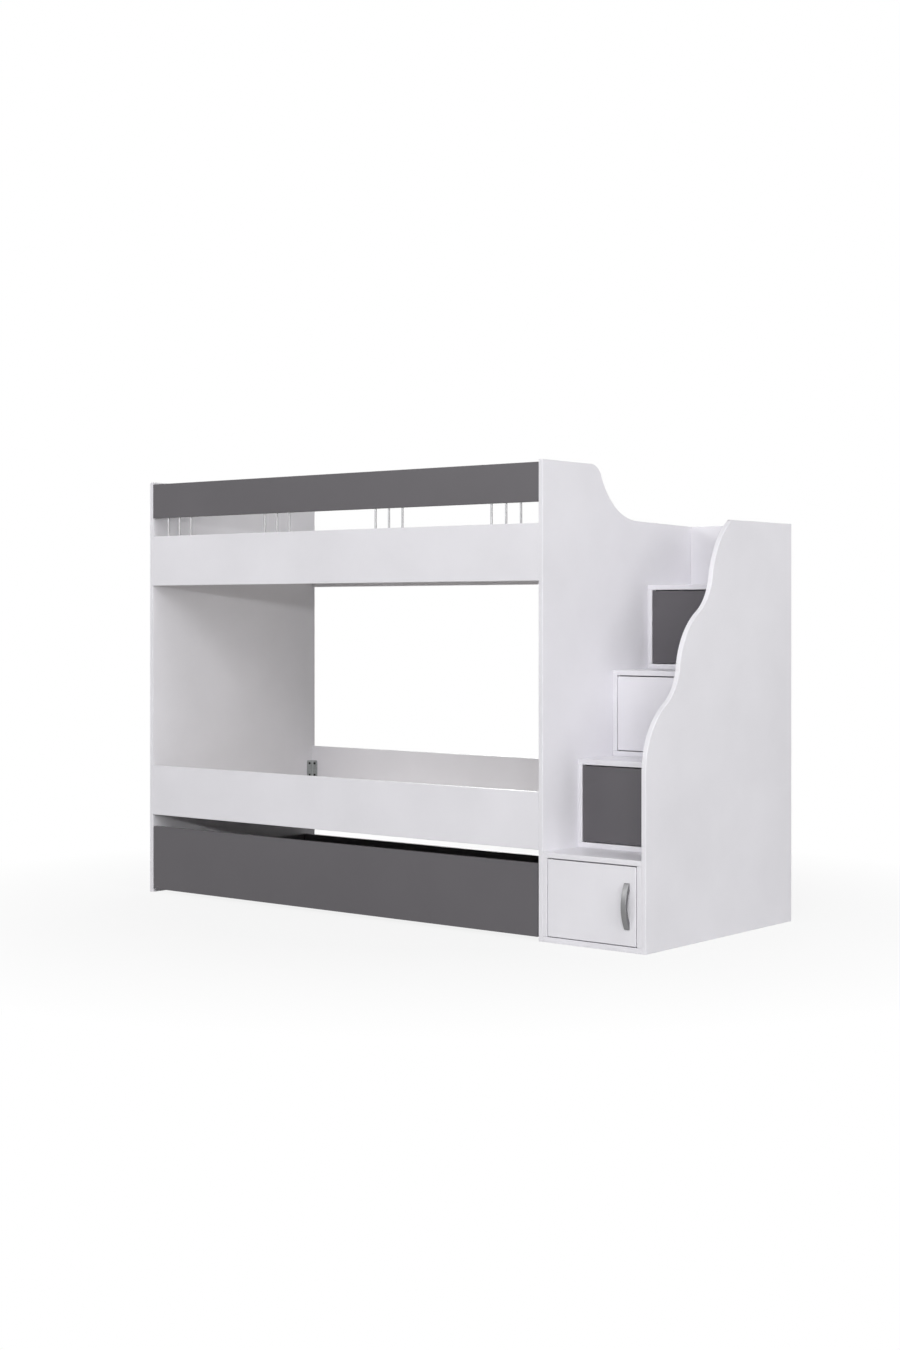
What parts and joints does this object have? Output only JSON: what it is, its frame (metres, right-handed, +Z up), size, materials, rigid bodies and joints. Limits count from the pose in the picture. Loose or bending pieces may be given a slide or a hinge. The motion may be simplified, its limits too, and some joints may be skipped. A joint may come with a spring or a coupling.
{
  "type": "bunk bed",
  "caption": "Bunk bed of white and grey boards with a guard rail on rods, a roll-out trundle and a tower of cupboard steps beside it.",
  "frame": {"origin": "on the floor, in the middle of the overall box", "axes": "+X along the bed towards the stairs, -Y the front that the doors and trundle open to, +Z up"},
  "size_m": [2.369, 0.966, 1.631],
  "materials": {
    "white_melamine": "satin white board",
    "grey_melamine": "satin dark grey board",
    "tray_melamine": "satin dark grey board",
    "pine": "planed pale softwood",
    "zinc_steel": "zinc plated",
    "dark_steel": "blackened steel",
    "satin_metal": "satin nickel",
    "black_plastic": "moulded"
  },
  "bodies": {
    "bed_frame": {"ledge_screws": "zinc_steel", "dowels": "pine", "step_screws": "zinc_steel", "back_panel_screws": "zinc_steel", "corner_brackets": "zinc_steel", "bracket_screws": "dark_steel", "guard_rods": "satin_metal", "left_end_panel": "white_melamine", "stair_end_panel": "white_melamine", "lower_front_rail": "white_melamine", "lower_back_rail": "white_melamine", "upper_front_rail": "white_melamine", "upper_back_rail": "white_melamine", "guard_rail": "grey_melamine", "lower_slat_ledges": "pine", "lower_slats": "pine", "upper_slat_ledges": "pine", "upper_slats": "pine", "outer_stair_panel": "white_melamine", "stair_back_panel": "white_melamine", "step_1_bottom": "white_melamine", "step_1_sides": "white_melamine", "step_1_tread": "white_melamine", "step_2_bottom": "white_melamine", "step_2_sides": "white_melamine", "step_2_tread": "white_melamine", "step_3_bottom": "white_melamine", "step_3_sides": "white_melamine", "step_3_tread": "white_melamine", "step_4_bottom": "white_melamine", "step_4_sides": "white_melamine", "step_4_tread": "white_melamine", "door_pivot_bushes": "black_plastic"},
    "door_1": {"door_1_panel": "white_melamine", "door_1_handle": "satin_metal", "door_1_handle_screws": "zinc_steel", "door_1_pivot_pins": "zinc_steel"},
    "door_2": {"door_2_panel": "grey_melamine", "door_2_handle": "satin_metal", "door_2_handle_screws": "zinc_steel", "door_2_pivot_pins": "zinc_steel"},
    "door_3": {"door_3_panel": "white_melamine", "door_3_handle": "satin_metal", "door_3_handle_screws": "zinc_steel", "door_3_pivot_pins": "zinc_steel"},
    "door_4": {"door_4_panel": "grey_melamine", "door_4_handle": "satin_metal", "door_4_handle_screws": "zinc_steel", "door_4_pivot_pins": "zinc_steel"},
    "trundle": {"trundle_front": "grey_melamine", "trundle_back": "tray_melamine", "trundle_sides": "tray_melamine", "trundle_base": "tray_melamine", "castor_forks": "zinc_steel", "castor_axles": "zinc_steel"},
    "castor_wheel_1": {"castor_wheel_1": "black_plastic"},
    "castor_wheel_2": {"castor_wheel_2": "black_plastic"},
    "castor_wheel_3": {"castor_wheel_3": "black_plastic"},
    "castor_wheel_4": {"castor_wheel_4": "black_plastic"}
  },
  "joints": [
    {"name": "door_1_hinge", "type": "hinge", "parent": "bed_frame", "child": "door_1", "pos_m": [0.7945, -0.451, 0.1515], "axis": [0, 0, -1], "range_deg": [0, 90]},
    {"name": "door_2_hinge", "type": "hinge", "parent": "bed_frame", "child": "door_2", "pos_m": [0.7945, -0.248, 0.4545], "axis": [0, 0, -1], "range_deg": [0, 85]},
    {"name": "door_3_hinge", "type": "hinge", "parent": "bed_frame", "child": "door_3", "pos_m": [0.7945, -0.038, 0.7575], "axis": [0, 0, -1], "range_deg": [0, 85]},
    {"name": "door_4_hinge", "type": "hinge", "parent": "bed_frame", "child": "door_4", "pos_m": [0.7945, 0.184, 1.0605], "axis": [0, 0, -1], "range_deg": [0, 85]},
    {"name": "trundle_slide", "type": "slide", "parent": "bed_frame", "child": "trundle", "axis": [0, -1, 0], "range_m": [0, 0.85]},
    {"name": "castor_1_spin", "type": "hinge", "parent": "trundle", "child": "castor_wheel_1", "pos_m": [-1.0445, -0.349, 0.025], "axis": [1, 0, 0], "continuous": true},
    {"name": "castor_2_spin", "type": "hinge", "parent": "trundle", "child": "castor_wheel_2", "pos_m": [0.6275, -0.349, 0.025], "axis": [1, 0, 0], "continuous": true},
    {"name": "castor_3_spin", "type": "hinge", "parent": "trundle", "child": "castor_wheel_3", "pos_m": [-1.0445, 0.297, 0.025], "axis": [1, 0, 0], "continuous": true},
    {"name": "castor_4_spin", "type": "hinge", "parent": "trundle", "child": "castor_wheel_4", "pos_m": [0.6275, 0.297, 0.025], "axis": [1, 0, 0], "continuous": true}
  ],
  "couplings": [
    {"joint": "castor_1_spin", "follows": "trundle_slide", "rad_per_m": 40},
    {"joint": "castor_2_spin", "follows": "trundle_slide", "rad_per_m": 40},
    {"joint": "castor_3_spin", "follows": "trundle_slide", "rad_per_m": 40},
    {"joint": "castor_4_spin", "follows": "trundle_slide", "rad_per_m": 40}
  ]
}
